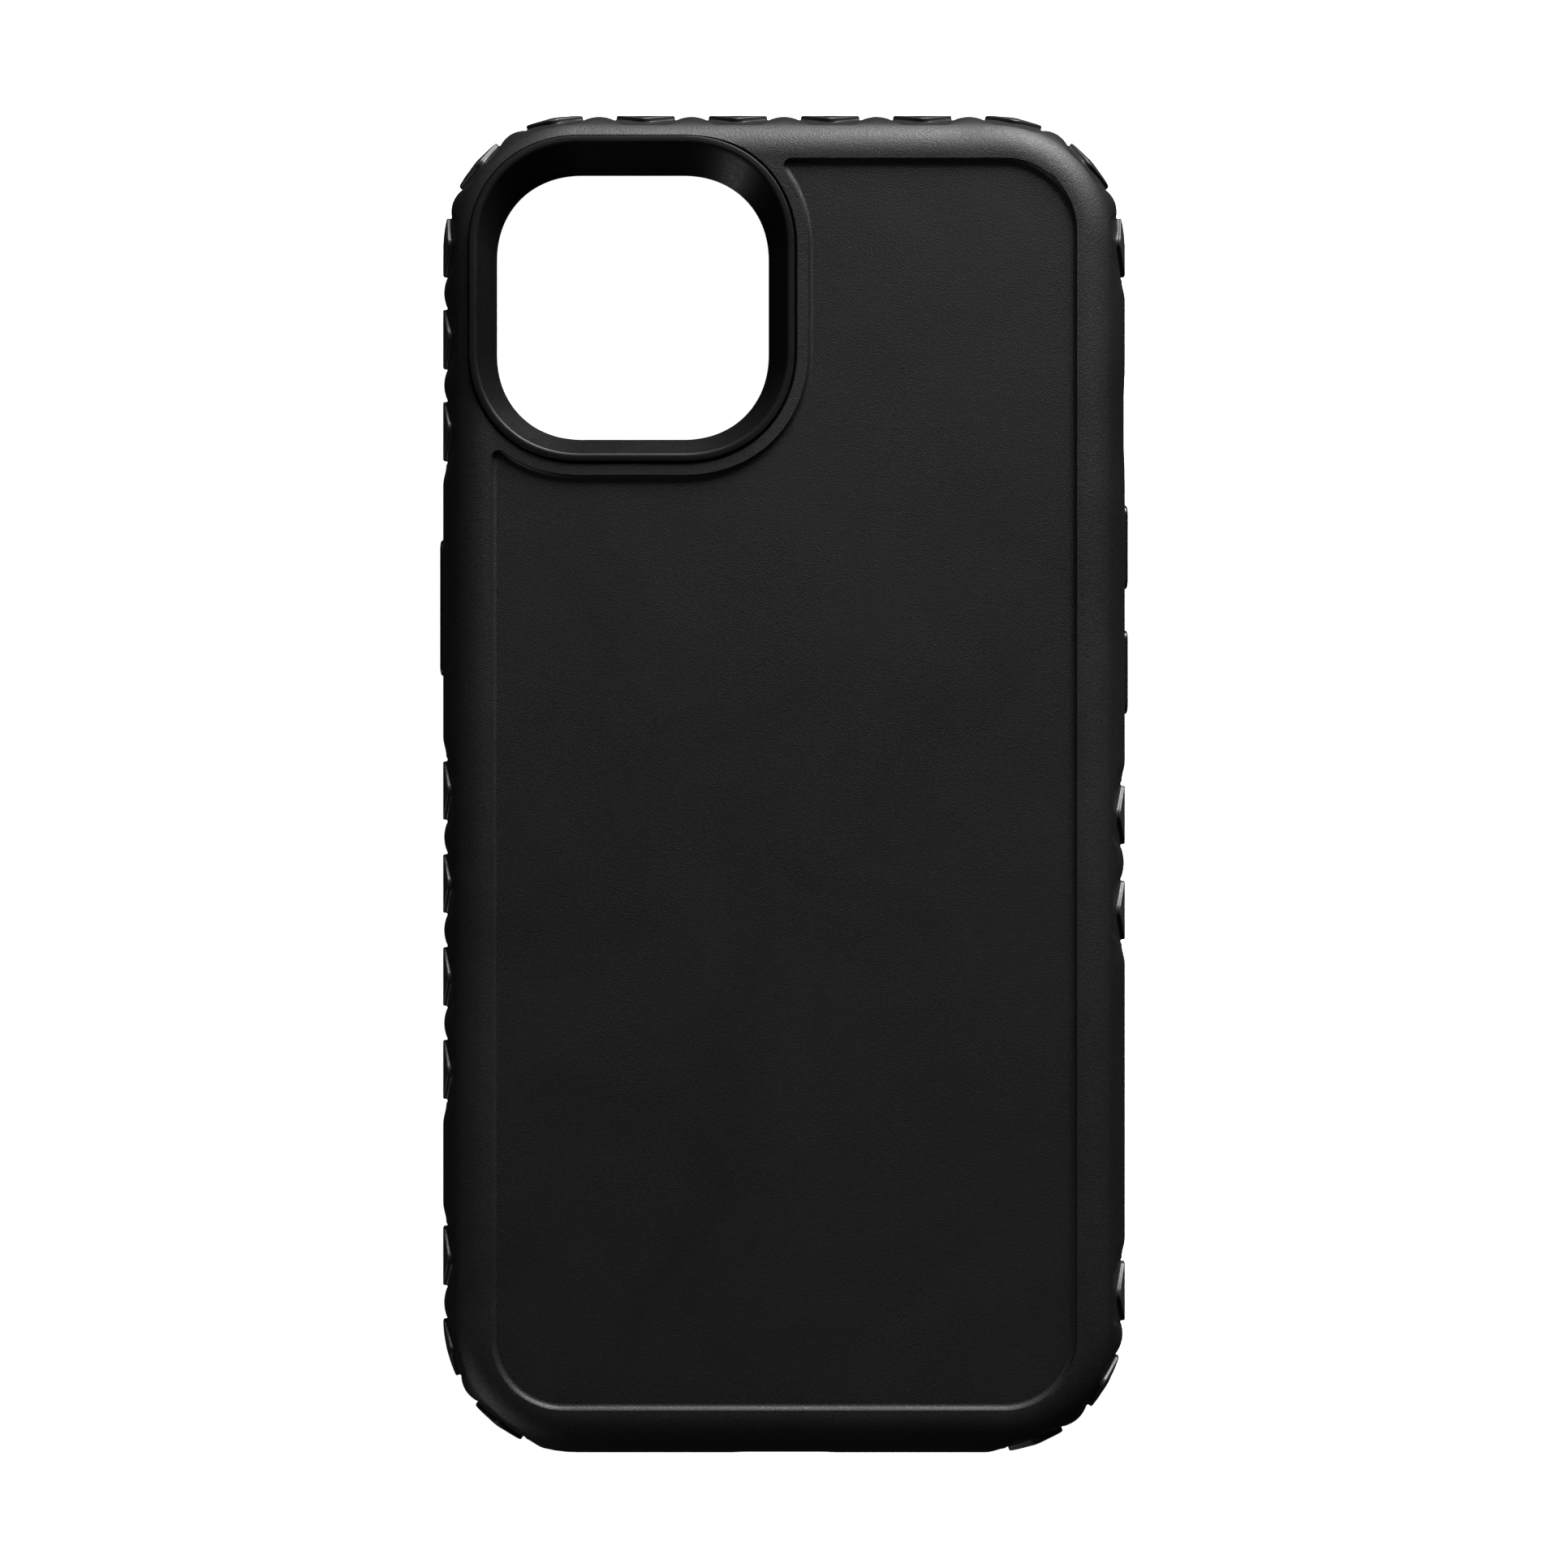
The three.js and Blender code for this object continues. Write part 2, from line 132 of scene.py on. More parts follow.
def rounded_box(half_x, half_y, corner, power=2.0, centre=(0, 0), steps=16):
    """A rectangle with superellipse corners, clockwise from the start of its upper right corner."""
    t = np.linspace(0, math.pi / 2, steps + 1)
    along = corner * np.sin(t) ** (2 / power)
    out = corner * np.cos(t) ** (2 / power)
    x, y = half_x - corner, half_y - corner
    quarters = [
        np.stack([x + along, y + out], 1),
        np.stack([x + out, -y - along], 1),
        np.stack([-x - along, -y - out], 1),
        np.stack([-x - out, y + along], 1),
    ]
    return np.concatenate(quarters) + np.array(centre)


def outline_ring(inset, steps=24):
    """The case's outline moved in."""
    return rounded_box(HALF_WIDTH - inset, HALF_LENGTH - inset, CORNER - inset, steps=steps)


def bezel_ring(grow, steps=40):
    """The camera bezel's outline, grown."""
    half = BEZEL_HALF + grow
    return rounded_box(half, half, BEZEL_CORNER + grow, SQUIRCLE, (CAMERA_X, CAMERA_Y), steps)


def window_ring(grow, steps=40):
    """The clear camera window's outline, grown."""
    half_x, half_y = WINDOW_HALF_X + grow, WINDOW_HALF_Y + grow
    return rounded_box(half_x, half_y, WINDOW_CORNER + grow, SQUIRCLE, (WINDOW_X, WINDOW_Y), steps)


def at_height(ring, z):
    """A plan ring as 3-D points at one height, or at a height for each point."""
    return np.column_stack([ring, np.broadcast_to(z, len(ring))])


def smoothstep(x):
    """0 below 0, 1 above 1, and an even S between."""
    x = np.clip(x, 0, 1)
    return x * x * (3 - 2 * x)


def inset_of(points):
    """How far plan points lie inside the case's outline."""
    across = np.abs(points[:, 0]) - (HALF_WIDTH - CORNER)
    along = np.abs(points[:, 1]) - (HALF_LENGTH - CORNER)
    in_corner = CORNER - np.hypot(across, along)
    return np.where((across > 0) & (along > 0), in_corner, CORNER - np.maximum(across, along))


def crown_height(inset):
    """The height of the rim's crowned surface at an inset."""
    share = np.clip((CROWN_INSET - inset) / CROWN_INSET, 0, 1)
    return CROWN_START + CROWN_HEIGHT * np.sqrt(1 - share**2)


def profile_at(z):
    """The side wall's section at a height: its inset and its unit normal as (outward, up)."""
    if z < FRONT_ROUND:
        lift = (FRONT_ROUND - z) / FRONT_ROUND
        out = math.sqrt(max(0.0, 1 - lift * lift))
        return FRONT_ROUND * (1 - out), (out, -lift)
    if z <= CROWN_START:
        return 0.0, (1.0, 0.0)
    lift = min(1.0, (z - CROWN_START) / CROWN_HEIGHT)
    out = math.sqrt(1 - lift * lift)
    normal = np.array([out / CROWN_INSET, lift / CROWN_HEIGHT])
    normal /= np.linalg.norm(normal)
    return CROWN_INSET * (1 - out), tuple(normal)


STRAIGHT_X = HALF_WIDTH - CORNER
STRAIGHT_Y = HALF_LENGTH - CORNER
ARC = CORNER * math.pi / 2
SIDE_START = STRAIGHT_X + ARC
PERIMETER = 4 * (STRAIGHT_X + STRAIGHT_Y + ARC)


def outline_at(station):
    """The outline's point and outward normal at a length along it, clockwise from the top's middle."""
    side = 1 if station >= 0 else -1
    s = abs(station)
    if s <= STRAIGHT_X:
        point, normal = (s, HALF_LENGTH), (0.0, 1.0)
    elif s <= SIDE_START:
        turn = (s - STRAIGHT_X) / CORNER
        normal = (math.sin(turn), math.cos(turn))
        point = (STRAIGHT_X + CORNER * normal[0], STRAIGHT_Y + CORNER * normal[1])
    elif s <= SIDE_START + 2 * STRAIGHT_Y:
        point, normal = (HALF_WIDTH, STRAIGHT_Y - (s - SIDE_START)), (1.0, 0.0)
    elif s <= SIDE_START + 2 * STRAIGHT_Y + ARC:
        turn = (s - SIDE_START - 2 * STRAIGHT_Y) / CORNER
        normal = (math.cos(turn), -math.sin(turn))
        point = (STRAIGHT_X + CORNER * normal[0], -STRAIGHT_Y + CORNER * normal[1])
    else:
        x = STRAIGHT_X - (s - SIDE_START - 2 * STRAIGHT_Y - ARC)
        point, normal = (x, -HALF_LENGTH), (0.0, -1.0)
    flip = np.array([side, 1.0])
    return np.array(point) * flip, np.array(normal) * flip


def form_point(station, z, lift=0.0):
    """A point over the case's outer form: a station along it, a height, and a lift off the surface."""
    plan, outward = outline_at(station)
    inset, (out, up) = profile_at(z)
    x, y = plan + outward * (lift * out - inset)
    return np.array([x, y, z + lift * up])


# ---- meshes --------------------------------------------------------------------------------------------


def new_object(name, vertices, faces):
    """A mesh object from points in millimetres, its faces turned outwards."""
    mesh = bpy.data.meshes.new(name)
    mesh.from_pydata((np.asarray(vertices) * MM).tolist(), [], faces)
    work = bmesh.new()
    work.from_mesh(mesh)
    bmesh.ops.recalc_face_normals(work, faces=work.faces)
    work.to_mesh(mesh)
    work.free()
    piece = bpy.data.objects.new(name, mesh)
    bpy.context.scene.collection.objects.link(piece)
    return piece


def loft(rings, ends="caps", start=0):
    """Points and faces of a surface through closed rings: capped, tipped by fans, or joined into a torus.
    start is how many points the mesh already has."""
    rings = [np.asarray(ring, float) for ring in rings]
    count = len(rings[0])
    points = [p for ring in rings for p in ring]
    faces = []
    pairs = len(rings) if ends == "torus" else len(rings) - 1
    for r in range(pairs):
        a, b = r * count, ((r + 1) % len(rings)) * count
        for i in range(count):
            j = (i + 1) % count
            faces.append([start + a + i, start + a + j, start + b + j, start + b + i])
    last = (len(rings) - 1) * count
    if ends == "caps":
        faces.append([start + i for i in range(count)][::-1])
        faces.append([start + last + i for i in range(count)])
    if ends == "fans":
        for base, ring, turn in ((0, rings[0], -1), (last, rings[-1], 1)):
            points.append(ring.mean(0))
            tip = start + len(points) - 1
            for i in range(count):
                faces.append([start + base + i, start + base + (i + 1) % count, tip][::turn])
    return points, faces


def loft_object(name, rings, ends="caps"):
    """A mesh object lofted through closed rings."""
    return new_object(name, *loft(rings, ends))


NO_LENGTH = 0.001  # edges shorter than this are closed up after a cut


def cut(piece, cutters):
    """Cuts the cutters out of the piece for good, removes them, and drops faces with no area."""
    group = bpy.data.collections.new(piece.name + "_cutters")
    for cutter in cutters:
        group.objects.link(cutter)
    modifier = piece.modifiers.new("cut", "BOOLEAN")
    modifier.operation = "DIFFERENCE"
    modifier.operand_type = "COLLECTION"
    modifier.collection = group
    modifier.solver = "MANIFOLD"
    graph = bpy.context.evaluated_depsgraph_get()
    result = bpy.data.meshes.new_from_object(piece.evaluated_get(graph))
    piece.modifiers.clear()
    piece.data = result
    for cutter in cutters:
        bpy.data.objects.remove(cutter)
    bpy.data.collections.remove(group)
    work = bmesh.new()
    work.from_mesh(result)
    bmesh.ops.dissolve_degenerate(work, dist=NO_LENGTH * MM, edges=work.edges)
    work.to_mesh(result)
    work.free()
    return piece


FLAT_AREA = 30.0  # square millimetres from which a face is shaded flat
LARGE_FACES_FIRST = 80  # how strongly a large face sets the shading of its corners


def smooth(piece, degrees=35):
    """Smooth shading with sharp edges past an angle, and large flat faces kept flat."""
    piece.data.shade_smooth()
    piece.data.set_sharp_from_angle(angle=math.radians(degrees))
    for face in piece.data.polygons:
        face.use_smooth = face.area < FLAT_AREA * MM * MM
    weighted = piece.modifiers.new("flat faces stay flat", "WEIGHTED_NORMAL")
    weighted.keep_sharp = True
    weighted.weight = LARGE_FACES_FIRST
    return piece


# ---- features of the side walls ------------------------------------------------------------------------


LEAST_CORNER = 0.05


def wall_ring(half_length, low, high, corner, face, out, grow=0.0, steps=6):
    """A rounded rectangle in a side wall's plane, out along its normal from its middle point."""
    point, normal = np.array(face[0], float), np.array(face[1], float)
    tangent = np.array([-normal[1], normal[0]])
    height = (high - low) / 2
    corner = max(corner + grow, LEAST_CORNER)
    ring = rounded_box(half_length + grow, height + grow, corner, steps=steps)
    plan = point + normal * out + np.outer(ring[:, 0], tangent)
    return np.column_stack([plan, (low + high) / 2 + ring[:, 1]])


def side_face(side, y):
    """A place on the right wall (side 1) or the left wall (side -1), and the wall's normal."""
    return (side * HALF_WIDTH, y), (side, 0)


def bottom_face(x):
    """A place on the foot end's wall, and the wall's normal."""
    return (x, -HALF_LENGTH), (0, -1)


MOUTH_ROUND = 0.22
MOUTH_OUTSIDE = 0.6  # how far a wall cutter runs past the wall's face
MOUTH_SPREAD = 0.1  # and how much it widens over that stretch
FILLET_ANGLES = np.radians([0, 18, 36, 54, 72])


def wall_cutter(name, half_length, low, high, corner, face, inner, surface=0.0):
    """A cutter through a side wall, with a rounded mouth where it meets the wall's outer face."""
    rings = [wall_ring(half_length, low, high, corner, face, inner)]
    for angle in FILLET_ANGLES:
        out = surface - MOUTH_ROUND * (1 - math.sin(angle))
        grow = MOUTH_ROUND * (1 - math.cos(angle))
        rings.append(wall_ring(half_length, low, high, corner, face, out, grow))
    out, grow = surface + MOUTH_OUTSIDE, MOUTH_ROUND + MOUTH_SPREAD
    rings.append(wall_ring(half_length, low, high, corner, face, out, grow))
    return loft_object(name, rings)


PORTS = [
    # name, half length, low, high, corner, face, depth of the wall's face there
    ("switch", 4.65, 2.6, 8.2, 2.0, side_face(1, SWITCH_Y), DIP_DEPTH),
    ("port", 7.1, 2.0, 8.6, 3.0, bottom_face(0), 0.0),
    ("speaker_left", 5.0, 4.1, 6.5, 1.15, bottom_face(-14.6), 0.0),
    ("speaker_right", 5.0, 4.1, 6.5, 1.15, bottom_face(14.6), 0.0),
]
THROUGH = -9.0  # where the ports' cutters start, inside the bay


def port_cutters():
    """The cutters of every port and of the ring switch's opening."""
    return [
        wall_cutter(name + "_cutter", half, low, high, corner, face, THROUGH, -depth)
        for name, half, low, high, corner, face, depth in PORTS
    ]


BUTTONS = {"side_button": -1, "volume_up_button": 1, "volume_down_button": 1}
ROOM_INNER, ROOM_OUTER = -4.3, -1.4  # the stretch of wall that a button's flange moves in


def button_place(node):
    """A button's wall face and half length, from its CAD box with the hidden flange taken off."""
    low, high = box_mm(node)
    half = (high[1] - low[1]) / 2 - BUTTON_MARGIN
    return side_face(BUTTONS[node], (low[1] + high[1]) / 2), half


def button_window(node):
    """A button's window in the wall."""
    face, half = button_place(node)
    rise = BUTTON_HEIGHT / 2 + BUTTON_GAP
    low, high = BUTTON_MIDDLE - rise, BUTTON_MIDDLE + rise
    corner = BUTTON_CORNER + BUTTON_GAP
    return wall_cutter(node + "_window", half + BUTTON_GAP, low, high, corner, face, ROOM_INNER)


def button_room(node):
    """The room behind a button's window for its flange."""
    face, half = button_place(node)
    grow = BUTTON_MARGIN + BUTTON_GAP
    rise = BUTTON_HEIGHT / 2 + grow
    low, high = BUTTON_MIDDLE - rise, BUTTON_MIDDLE + rise
    places = (ROOM_INNER, ROOM_OUTER)
    rings = [wall_ring(half + grow, low, high, BUTTON_CORNER + grow, face, out) for out in places]
    return loft_object(node + "_room", rings)


# ---- tread ---------------------------------------------------------------------------------------------


def side_station(side, y):
    """The station of a place on the right wall (side 1) or the left wall (side -1)."""
    return side * (SIDE_START + STRAIGHT_Y - y)


STRIPS = {
    "tread_strip_top": [(k + 0.5) * TOP_PITCH for k in range(-7, 5)],
    "tread_strip_left": [side_station(-1, LEFT_FIRST - k * LEFT_PITCH) for k in range(4)],
    "tread_strip_left_foot": [side_station(-1, LEFT_FIRST - k * LEFT_PITCH) for k in (5, 6, 7)],
    "tread_strip_right": [side_station(1, RIGHT_FIRST - k * RIGHT_PITCH) for k in (0, 1)],
    "tread_strip_right_foot": [side_station(1, RIGHT_FIRST - k * RIGHT_PITCH) for k in (5, 6, 7)],
}
STATIONS = sorted(s for stations in STRIPS.values() for s in stations)
STATION_SET = set(STATIONS)

POCKET_POWER = 3.0
POCKET_SPAN = 4.6  # half height at which the pocket's curved ends would meet
POCKET_WALL = 1.8  # half height of the pocket's deepest stretch
RIB_CREST = 0.12  # depth of a rib's middle below the plain wall
RIB_FOOT = 0.36  # depth of a rib where it meets a pocket
RIB_WALL = 2.2  # half height over which the ribs are hollowed in full
RIB_RUNOUT = 2.2  # height over which that runs out
RIB_SHARES = (0.15, 0.35, 0.6, 0.85)
RUN_END = 2.2  # length over which the last pocket of a run rises to the plain wall
RUN_RAMP = (0.2, 0.45, 0.8, 1.3, 1.8, RUN_END)
LONGEST_RIB = 4.0  # a longer stretch between two pockets is plain wall
PLAIN_STEP = 1.4


def pocket_half(z):
    """A pocket's half length at a height."""
    rise = min(abs(z - LUG_MIDDLE), POCKET_REACH) / POCKET_SPAN
    return POCKET_HALF * (1 - rise**POCKET_POWER) ** (1 / POCKET_POWER)


def floor_share(z):
    """The share of the pocket's full depth at a height: it runs out straight into the crown."""
    past = (abs(z - LUG_MIDDLE) - POCKET_WALL) / (POCKET_REACH - POCKET_WALL)
    return 1 - min(1.0, max(0.0, past)) ** 2


def rib_fade(z):
    """How much of the ribs' hollowing is left at a height: all in the wall, none on the rim."""
    return float(1 - smoothstep((abs(z - LUG_MIDDLE) - RIB_WALL) / RIB_RUNOUT))


# Columns of the wall's grid are (middle or edge station, shift with the pocket's half length, pocket share,
# rib depth). The shift makes a column follow the pocket's curved end. The shares below are (shift, pocket
# share) over a pocket's end wall, and shifts over its floor.
WALL_SHARES = ((1.0, 0.0), (0.97, 0.3), (0.94, 0.75), (0.9, 1.0))
FLOOR_SHARES = (0.75, 0.6, 0.45, 0.3, 0.15, 0.0)


def pocket_columns(station):
    """Columns across one pocket."""
    shares = list(WALL_SHARES) + [(share, 1.0) for share in FLOOR_SHARES]
    left = [(station, -share, deep) for share, deep in shares]
    right = [(station, share, deep) for share, deep in reversed(shares[:-1])]
    return [(s, share, deep, RIB_FOOT) for s, share, deep in left + right]


def rib_columns(left, right):
    """Columns over the rib between two neighbouring pockets."""
    middle = (left + right) / 2
    half = (right - left) / 2 - POCKET_HALF
    places = [(-1, share) for share in RIB_SHARES]
    places += [(1, 1.0)]
    places += [(1, share) for share in reversed(RIB_SHARES)]
    columns = []
    for side, share in places:
        hold = 1 - share
        depth = RIB_CREST + (RIB_FOOT - RIB_CREST) * hold**2
        anchor = middle + side * half * hold
        columns.append((anchor, -side * hold, 0.0, depth))
    return columns


def plain_columns(left, right):
    """Columns over a stretch with no tread, between the edges of two pockets."""
    start, end = left + POCKET_HALF, right - POCKET_HALF
    columns = []
    for step in RUN_RAMP:
        hold = 1 - step / RUN_END
        columns.append((start + step, hold, 0.0, RIB_FOOT * float(smoothstep(hold))))
    low, high = start + RUN_END, end - RUN_END
    count = math.ceil((high - low) / PLAIN_STEP)
    for i in range(1, count):
        columns.append((low + (high - low) * i / count, 0.0, 0.0, 0.0))
    for step in reversed(RUN_RAMP):
        hold = 1 - step / RUN_END
        columns.append((end - step, -hold, 0.0, RIB_FOOT * float(smoothstep(hold))))
    return columns


def wall_columns():
    """Every column round the case, clockwise from the first pocket."""
    columns = []
    for index, station in enumerate(STATIONS):
        following = STATIONS[index + 1] if index + 1 < len(STATIONS) else STATIONS[0] + PERIMETER
        columns += pocket_columns(station)
        near = following - station < 2 * POCKET_HALF + LONGEST_RIB
        columns += rib_columns(station, following) if near else plain_columns(station, following)
    return columns


def wrapped(station):
    """A station brought back to the outline's own range."""
    return (station + PERIMETER / 2) % PERIMETER - PERIMETER / 2


POCKET_EASE = 0.1  # spacing of the rows at a pocket's upper and lower ends
EVEN_ROWS = 0.35  # where the wall's evenly spaced rows start, over a pocket's lower end


def wall_rows():
    """The heights of the wall's rows, from the lip to the flat of the rim."""
    low, high = LUG_MIDDLE - POCKET_REACH, LUG_MIDDLE + POCKET_REACH
    rows = [FRONT_ROUND * (1 - math.cos(a)) for a in np.radians(range(0, 91, 15))]
    rows += [low - POCKET_EASE, low, low + POCKET_EASE]
    rows += list(np.linspace(low + EVEN_ROWS, CROWN_START, 12))
    edge = math.asin((high - CROWN_START) / CROWN_HEIGHT)
    near = math.asin((high - 2 * POCKET_EASE - CROWN_START) / CROWN_HEIGHT)
    past = math.asin((high + POCKET_EASE - CROWN_START) / CROWN_HEIGHT)
    angles = [*np.linspace(0, near, 15)[1:], (near + edge) / 2, edge, past]
    angles += list(np.linspace(past, math.pi / 2, 15)[1:])
    rows += [CROWN_START + CROWN_HEIGHT * math.sin(a) for a in angles]
    return rows


def dip_face(y):
    """How far out the right wall may reach, where it dips for the ring switch."""
    past = np.abs(y - SWITCH_Y) - DIP_FLAT / 2
    return HALF_WIDTH - DIP_DEPTH * (1 - smoothstep(past / (DIP_RATE * DIP_DEPTH)))


def wall_grid():
    """Rings of the outer form, with the tread's pockets and ribs and the switch's dip."""
    columns = wall_columns()
    rings = []
    for z in wall_rows():
        half, fade, floor = pocket_half(z), rib_fade(z), floor_share(z)
        ring = []
        for anchor, shift, deep, rib in columns:
            inside = anchor in STATION_SET
            station = anchor + shift * (half if inside else half - POCKET_HALF)
            depth = rib * fade
            depth += (POCKET_DEPTH - depth) * deep * floor
            ring.append(form_point(wrapped(station), z, -depth))
        ring = np.array(ring)
        ring[:, 0] = np.minimum(ring[:, 0], dip_face(ring[:, 1]))
        rings.append(ring)
    return rings


def round_polygon(corners, radii, steps=5):
    """A polygon with its corners rounded by quadratic curves of the given reach."""
    corners = np.array(corners, float)
    points = []
    for index, corner in enumerate(corners):
        before = corners[index - 1] - corner
        after = corners[(index + 1) % len(corners)] - corner
        start = corner + before / np.linalg.norm(before) * radii[index]
        end = corner + after / np.linalg.norm(after) * radii[index]
        for t in np.linspace(0, 1, steps + 1):
            points.append((1 - t) ** 2 * start + 2 * t * (1 - t) * corner + t * t * end)
    return np.array(points)


def inset_loop(loop, amount):
    """A closed loop moved inwards along its own normals. It runs anticlockwise."""
    along = np.roll(loop, -1, 0) - np.roll(loop, 1, 0)
    along /= np.linalg.norm(along, axis=1)[:, None]
    return loop + np.column_stack([-along[:, 1], along[:, 0]]) * amount


LUG_END_ROUND = 0.3
LUG_TIP_ROUND = 0.38


def lug_outline():
    """A lug's outline in (along, up): eight sides with blunt ends, rounded, anticlockwise."""
    half, reach, blunt, tip = LUG_HALF, LUG_REACH, LUG_BLUNT, LUG_TIP
    corners = [
        (half, -blunt),
        (half, blunt),
        (tip, reach),
        (-tip, reach),
        (-half, blunt),
        (-half, -blunt),
        (-tip, -reach),
        (tip, -reach),
    ]
    return round_polygon(corners, [LUG_END_ROUND, LUG_END_ROUND, LUG_TIP_ROUND, LUG_TIP_ROUND] * 2)


LUG_BASE = -0.62
# (inset from the lug's outline, lift off the case's outer form), from the pocket's floor up: a small
# fillet at the foot, an upright wall and a rounded upper edge.
LUG_EDGE = [
    (-0.2, LUG_BASE),
    (-0.17, -0.52),
    (-0.11, -0.485),
    (-0.05, -0.43),
    (-0.015, -0.33),
    (0.0, -0.16),
    (0.02, -0.08),
    (0.07, -0.025),
    (0.15, 0.0),
]
LUG_FACE_SHARES = (0.86, 0.7, 0.52, 0.35, 0.18)
LUG_UNDER_SHARES = (0.4, 0.8)


def lug(station):
    """One lug: a bevelled V-tipped block that follows the curve of the wall and of the rim."""
    outline = lug_outline()
    shapes = [(inset_loop(outline, inset), lift) for inset, lift in LUG_EDGE]
    face = shapes[-1][0]
    shapes += [(face * share, 0.0) for share in LUG_FACE_SHARES]
    shapes = [(outline * share, LUG_BASE) for share in LUG_UNDER_SHARES] + shapes
    return [
        np.array([form_point(wrapped(station + x), LUG_MIDDLE + y, lift) for x, y in loop])
        for loop, lift in shapes
    ]


def tread_strip(name):
    """All the lugs of one strip."""
    points, faces = [], []
    for station in STRIPS[name]:
        more_points, more_faces = loft(lug(station), "fans", len(points))
        points += more_points
        faces += more_faces
    return new_object(name + "_lugs", points, faces)


# ---- the recess of the back panel ----------------------------------------------------------------------

# Radius where the collar's outline meets the straight sides. It is larger than any inset of the panel.
END_ROUND = 0.9
SIDE_STEP = 2.0  # longest step along the straight sides


def resampled(path, step):
    """A polyline with points no more than a step apart."""
    points = [path[0]]
    for a, b in zip(path[:-1], path[1:]):
        count = max(1, math.ceil(np.linalg.norm(b - a) / step))
        points += [a + (b - a) * i / count for i in range(1, count + 1)]
    return np.array(points)


def between(points, place):
    """A point at a fractional index of a list."""
    index = int(place)
    return points[index] + (points[index + 1] - points[index]) * (place - index)


def falling_through(values, level):
    """The fractional index at which the values first fall through a level."""
    index = int(np.flatnonzero((values[:-1] >= level) & (values[1:] < level))[0])
    return index + (values[index] - level) / (values[index] - values[index + 1])


def fillet(centre, first, last, steps=8):
    """The inner points of an anticlockwise arc about a centre, between two angles."""
    angles = np.linspace(first, last, steps + 1)[1:-1]
    return centre + END_ROUND * np.column_stack([np.cos(angles), np.sin(angles)])


def recess_loop():
    """The recess's outline, anticlockwise: the panel's rounded rectangle less the camera's collar."""
    collar = bezel_ring(BEZEL_GAP + COLLAR, steps=60)
    centres = inset_loop(collar, END_ROUND)
    top = falling_through(centres[:, 1], PANEL_HALF_Y - END_ROUND)
    left = falling_through(centres[:, 0], END_ROUND - PANEL_HALF_X)
    top_centre, left_centre = between(centres, top), between(centres, left)
    arc = [between(collar, top), *collar[math.ceil(top) : math.ceil(left)], between(collar, left)]
    sides = rounded_box(PANEL_HALF_X, PANEL_HALF_Y, PANEL_CORNER, steps=20)
    right_and_foot = sides[: 3 * len(sides) // 4][::-1]
    path = [(-PANEL_HALF_X, left_centre[1]), *right_and_foot, (top_centre[0], PANEL_HALF_Y)]
    reach_top = arc[0] - top_centre
    reach_left = arc[-1] - left_centre
    into_collar = math.atan2(reach_top[1], reach_top[0]) % math.tau
    out_of_collar = math.atan2(reach_left[1], reach_left[0])
    return np.vstack(
        [
            resampled(np.array(path), SIDE_STEP),
            fillet(top_centre, math.pi / 2, into_collar),
            arc,
            fillet(left_centre, out_of_collar, math.pi),
        ]
    )


# ---- the rigid layers ----------------------------------------------------------------------------------


def plan_cutter(name, grown, inner, edge, radius, facing=1):
    """A cutter for an opening in a face that looks up (facing 1) or down, with the opening's edge rounded.
    grown(amount) is the opening's ring moved outwards; edge is the face's height along it."""
    rings = [at_height(grown(0), inner)]
    for angle in FILLET_ANGLES:
        z = edge - facing * radius * (1 - math.sin(angle))
        rings.append(at_height(grown(radius * (1 - math.cos(angle))), z))
    outside = (np.max(edge) if facing > 0 else np.min(edge)) + facing * PAST
    rings += [at_height(grown(radius), edge + facing * radius), at_height(grown(radius), outside)]
    return loft_object(name, rings)


def cavity_cutter():
    """The space for the liner, with a chamfer under the rim."""
    shoulder = FLANGE_UNDER - SHELL_CHAMFER
    rows = [(SHELL_INSET, LIP_TOP), (SHELL_INSET, shoulder), (SHELL_INSET + SHELL_CHAMFER, FLANGE_UNDER)]
    return loft_object("cavity", [at_height(outline_ring(inset), z) for inset, z in rows])


STEP_WIDTH = 0.62
STEP_SWEEP = math.radians(65)
STEP_EDGE = 0.05  # radius of the rim's crisp edge over the step
SCREEN_ROUND = 0.5
CAMERA_ROUND = 0.2


def step_rows():
    """(outward reach, height) of the step round the panel: a hollow curve up to the rim's crisp edge."""
    rise = FRAME_TOP - STEP_EDGE - PANEL_TOP
    rows = [(-STEP_WIDTH, FLANGE_UNDER - PAST)]
    for angle in np.linspace(0, STEP_SWEEP, 9):
        out = math.sin(angle) / math.sin(STEP_SWEEP)
        up = (1 - math.cos(angle)) / (1 - math.cos(STEP_SWEEP))
        rows.append((-STEP_WIDTH * (1 - out), PANEL_TOP + rise * up))
    rows.append((0.4 * STEP_EDGE, FRAME_TOP - 0.3 * STEP_EDGE))
    rows.append((STEP_EDGE, FRAME_TOP + 0.05 * STEP_EDGE))
    rows.append((STEP_EDGE, FRAME_TOP + PAST))
    return rows


def screen_cutter():
    """The screen window in the lip."""

    def grown(amount):
        return outline_ring(LIP_INSET - amount)

    return plan_cutter("screen_window", grown, LIP_TOP + PAST, 0, SCREEN_ROUND, -1)


def recess_cutter():
    """The panel's recess, with a hollow step up to the rim."""
    loop = recess_loop()
    rings = [at_height(inset_loop(loop, -grow), z) for grow, z in step_rows()]
    return loft_object("recess", rings)


def camera_cutter():
    """The hole that the camera ring stands in."""

    def grown(amount):
        return bezel_ring(BEZEL_GAP + amount)

    edge = crown_height(inset_of(grown(0)))
    return plan_cutter("camera_hole", grown, FLANGE_UNDER - PAST, edge, CAMERA_ROUND)


